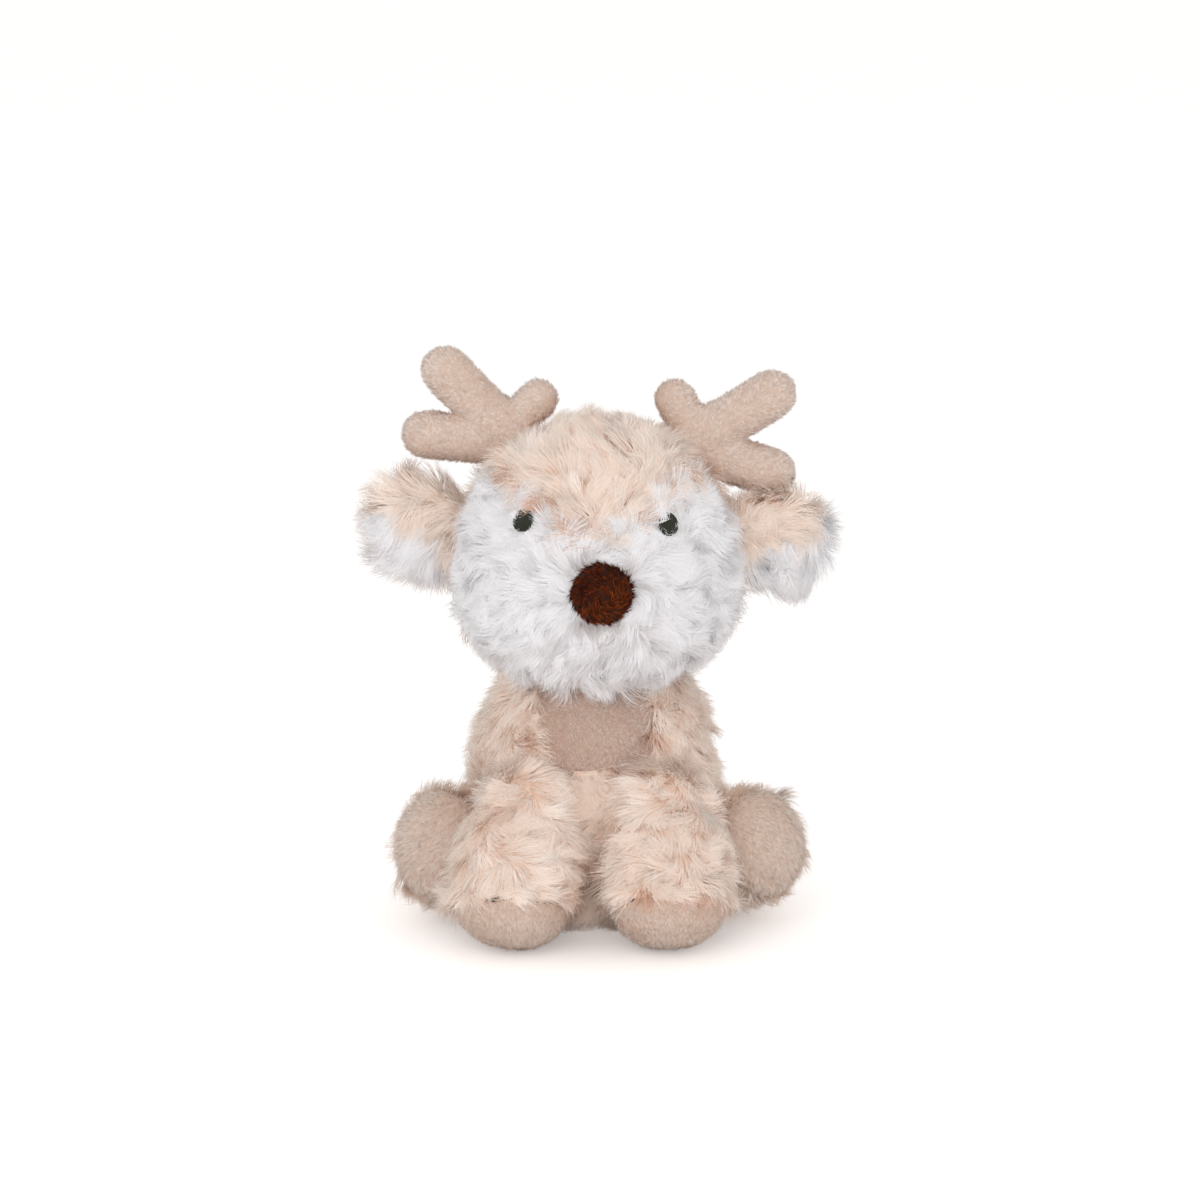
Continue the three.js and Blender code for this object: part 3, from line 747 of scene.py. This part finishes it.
# %% Draw the seams
def below(*seam):
    """True for points below a seam, which is drawn in millimetres across and up as the front shows it."""
    across, up = np.array(seam).T * MM

    def is_below(points):
        height = points[:, 2] * math.cos(CAMERA_ELEVATION) + points[:, 1] * math.sin(CAMERA_ELEVATION)
        return height < np.interp(points[:, 0], across, up)
    return is_below


MASK_SEAM = below(
    (-42, 110), (-40, 114), (-32, 127), (-26, 128), (-19, 122), (-13, 117), (-9, 111),
    (2, 111), (7, 117), (13, 123), (19, 126), (31, 127), (34, 120), (41, 108),
)
EAR_LEAN = math.tan(math.radians(22))  # the ears stand with their top edge forward
EAR_HEIGHT = 113.5 * MM  # of the middle of an ear
EAR_EDGE = 1.5 * MM  # how far behind its middle plane an ear is still white


def on_the_front(seam):
    """White only where the ear looks forward, so that its back and lower edge are cream."""
    def is_white(points):
        behind = points[:, 1] + EAR_LEAN * (points[:, 2] - EAR_HEIGHT)
        return seam(points) & (behind < EAR_EDGE)
    return is_white


EAR_SEAMS = {
    "right": on_the_front(below((-68, 123), (-49, 115), (-37, 108))),
    "left": on_the_front(below((38, 102), (49, 106), (57, 112), (65, 118))),
}
seams = {"face_mask": MASK_SEAM} | {f"ear_lining_{side}": seam for side, seam in EAR_SEAMS.items()}
edge_combs = {"face_mask": brushed_towards((0, -0.2, -1))}
edge_combs |= {f"ear_lining_{side}": brushed_towards((sign, -0.2, -0.3)) for side, sign in SIDES.items()}
print("seams:", sorted(seams))

# %% [markdown]
# ## Eyes
# The eyes are embroidered: strands of dark thread lie side by side over a small padded oval. A striped
# bump on a smooth oval would look flat up close, so each thread is a curve with a round bevel, which catches
# the light along its own ridge and gives the eye an edge of stitches.

# %% Satin stitch
THREAD = 0.42 * MM
PITCH = 0.8 * THREAD  # threads lie so close that they overlap
THREAD_RUN = (0.25, 0, 1.0)
ARCH_STEPS = 8
END_HEIGHT = 0.2  # of the pad's height, where a thread goes back into the fabric
EVERY_OTHER = 0.08 * MM  # how much higher every other thread lies


def embroidered(name, solid):
    """Satin stitch over an oval pad: threads side by side, each arched over the pad."""
    points = read(solid.data.vertices, "co")
    middle = points.mean(axis=0)
    _, _, axes = np.linalg.svd(points - middle)
    out = axes[2] * (-1 if axes[2][1] > 0 else 1)
    up = unit(np.cross(np.cross(out, THREAD_RUN), out)[None])[0]
    right = np.cross(up, out)
    local = (points - middle) @ np.stack([right, up, out], axis=1)
    half_width, half_height, top = np.abs(local[:, 0]).max(), np.abs(local[:, 1]).max(), local[:, 2].max()
    curve = bpy.data.curves.new(name, "CURVE")
    curve.dimensions = "3D"
    curve.bevel_depth = THREAD / 2
    curve.bevel_resolution = 1
    threads = int(2 * half_width / PITCH)
    for i in range(threads):
        x = (i + 0.5) / threads * 2 - 1
        reach = math.sqrt(1 - x * x)
        spline = curve.splines.new("POLY")
        spline.points.add(ARCH_STEPS)
        for k, point in enumerate(spline.points):
            y = (2 * k / ARCH_STEPS - 1) * reach
            arch = (1 - x * x - y * y) ** 0.5 if x * x + y * y < 1 else 0
            height = top * (END_HEIGHT + (1 - END_HEIGHT) * arch) + (EVERY_OTHER if i % 2 else 0)
            place = middle + right * x * half_width + up * y * half_height + out * height
            point.co = (*place, 1)
    return linked(name, curve)


# %% Embroider both eyes
thread, _, thread_shader = material_with("eye thread", 0.45, 0)
thread_shader.inputs["Base Color"].default_value = colour(44, 47, 37)
for side in SIDES:
    name = f"eye_{side}"
    piece = embroidered(f"{name}_stitches", frame["nodes"][name])
    piece.data.materials.append(thread)
    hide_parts(name)
    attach(piece, body_of_node[name])
print("eyes:", len(SIDES))

# %% [markdown]
# ## Pile on every cover
# Each cover takes one of the two kinds of pile, with changes of its own: locks of the front legs hang far
# over the paws, the ears have the longest strands, and the nose has a dense nap. The strands cast no
# shadow, because the shade between them is already in their colour.

# %% Grow the pile
INSIDE = ("fibre", "bag_cloth")
hidden = [solid for name, solid in frame["nodes"].items() if slot_of_node[name] in INSIDE]
fillings = tree_of(hidden)
solids = tree_of([*backings.values(), *hidden])
eyes = [frame["nodes"][name] for name in on_both_sides("eye")]
bare = tree_of([*(backings[name] for name in short_covers), *eyes])
trims = {
    "body_cover": {
        "length": 9.5 * MM, "rise": (66, 8), "least_hang": 2.5 * MM, "root_light": 0.5, "deepest": 0.45,
    },
    "face_mask": {"hang": 3 * MM, "least_hang": 1 * MM, "crease": 0.2, "stray": 32},
    "chest_panel": {"crease": 0.1},
    # The nose's near-black roots and dark lock rims are painted shade between its locks.
    "nose": {
        "length": 2.2 * MM, "width": 0.2 * MM, "per_lock": 10, "gather": 0.3, "rise": (35, 5),
        "lock_size": 0.6 * MM, "swirl": 15, "crease": 0.7, "fleck": 0.25, "root_light": 0,
    },
}
for names, changes in (
    (on_both_sides("front_leg_cover"), {"least_hang": 3 * MM, "hang": 7 * MM}),
    (on_both_sides("hind_leg_cover"),
     {"least_hang": 2.5 * MM, "hang": 4 * MM, "root_light": 0.5, "deepest": 0.55}),
    (on_both_sides("front_paw"), {"deepest": 0.6}),
    (on_both_sides("hind_sole"), {"length": 2 * MM}),
    (on_both_sides("ear_back", "ear_lining"), {"length": 10.5 * MM, "root_light": 0.6, "deepest": 1}),
):
    trims |= dict.fromkeys(names, changes)


def add_pile(pile_name, name, slot, comb, seed, where=None):
    kind = LONG if name in long_covers else SHORT
    kept_bare = bare if kind is LONG else None
    changes = trims.get(name, {})
    pile = grow(pile_name, backings[name], kind, comb, solids, kept_bare, fillings, seed, where, **changes)
    pile.data.materials.append(antler_pile if "antler" in name else pile_of_slot[slot])
    pile.visible_shadow = False
    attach(pile, body_of_node[name])


for i, name in enumerate(backings):
    seam = seams.get(name)
    add_pile(f"{name}_pile", name, slot_of_node[name], combs[name], 100 * i, seam)
    if seam:
        add_pile(f"{name}_edge_pile", name, "long_pile", edge_combs[name], 100 * i + 50,
                 lambda points: ~seam(points))

# %% [markdown]
# The neck gusset hides between head and body until the head nods. Its outer side has flat, shorter pile.

# %% Cover the neck gusset
NECK = np.array((0, 0, 67 * MM))
gusset = frame["nodes"]["neck_gusset"]
middle_radius = np.linalg.norm(read(gusset.data.vertices, "co") - NECK, axis=1).mean()


def outside(points):
    return np.linalg.norm(points - NECK, axis=1) > middle_radius


far_below = tree_of([frame["nodes"]["pellet_bag"]])  # so the ruff keeps its length inside the head
ruff = grow("neck_gusset_pile", gusset, LONG, brushed_towards(DOWN), far_below, None, None, 9000, outside,
            length=4.5 * MM, rise=(28, 2), curl=0.3 * MM, crease=0.1)
ruff.data.materials.append(cream_pile)
ruff.visible_shadow = False
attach(ruff, body_of_node["neck_gusset"])

# %% [markdown]
# ## Filling
# The fibre inside never shows, but it fills the covers, so its CAD solids stay and get a fibre material.
# The neck gusset is sewn from the same cloth as the covers.

# %% Fibre and bag cloth
fibre = cloth_material("polyester fibre", (240, 238, 232), (250, 249, 246), 300)
bag = cloth_material("bag cloth", (214, 208, 196), (226, 221, 211), 1500)
for name, solid in frame["nodes"].items():
    if slot_of_node[name] in INSIDE:
        solid.data.materials.clear()
        solid.data.materials.append(fibre if slot_of_node[name] == "fibre" else bag)
gusset.data.materials[0] = cream_cloth
print("inside:", len(hidden), "solids")

# %% [markdown]
# ## Studio
# A white floor and an even white sky, with a large soft lamp high in front on one side and a weaker one
# low on the other. The camera sees the floor glow a little and the sky at full white, which keeps the
# background clean and leaves the toy's soft shadow on the floor.

# %% Floor, sky and lamps
FLOOR = 8.0  # half its width
PAPER_GLOW = 0.26
SKY_LIGHT, SKY_SEEN = 0.80, 1.05
LAMP_TARGET = Vector((0, 0, 0.08))

floor_mesh = bpy.data.meshes.new("floor")
floor_mesh.from_pydata([(-FLOOR, -FLOOR, 0), (FLOOR, -FLOOR, 0), (FLOOR, FLOOR, 0), (-FLOOR, FLOOR, 0)],
                       [], [(0, 1, 2, 3)])
floor = linked("floor", floor_mesh)
paper, paper_tree, paper_shader = material_with("white paper", 0.9, 0)
paper_shader.inputs["Base Color"].default_value = colour(250, 247, 245)
paper_shader.inputs["Emission Color"].default_value = (1, 1, 1, 1)
seen_by = node(paper_tree, "ShaderNodeLightPath")
glow = node(paper_tree, "ShaderNodeMath", operation="MULTIPLY")
glow.inputs[1].default_value = PAPER_GLOW
paper_tree.links.new(seen_by.outputs["Is Camera Ray"], glow.inputs[0])
paper_tree.links.new(glow.outputs[0], paper_shader.inputs["Emission Strength"])
floor.data.materials.append(paper)

sky = bpy.data.worlds.new("sky")
scene.world = sky
sky.use_nodes = True
backdrop = sky.node_tree.nodes["Background"]
backdrop.inputs["Color"].default_value = (1, 1, 1, 1)
seen = node(sky.node_tree, "ShaderNodeLightPath")
level = node(sky.node_tree, "ShaderNodeMapRange")
level.inputs["To Min"].default_value = SKY_LIGHT
level.inputs["To Max"].default_value = SKY_SEEN
sky.node_tree.links.new(seen.outputs["Is Camera Ray"], level.inputs["Value"])
sky.node_tree.links.new(level.outputs[0], backdrop.inputs["Strength"])


def lamp(name, place, size, power):
    light = bpy.data.lights.new(name, "AREA")
    light.size = size
    light.energy = power
    holder = linked(name, light)
    holder.location = place
    holder.rotation_euler = (LAMP_TARGET - Vector(place)).to_track_quat("-Z", "Y").to_euler()


lamp("key", (-0.4, -1.1, 0.75), 1.2, 5.5)
lamp("fill", (0.7, -1.1, 0.3), 1.2, 3.5)
scene.view_settings.view_transform = "Standard"
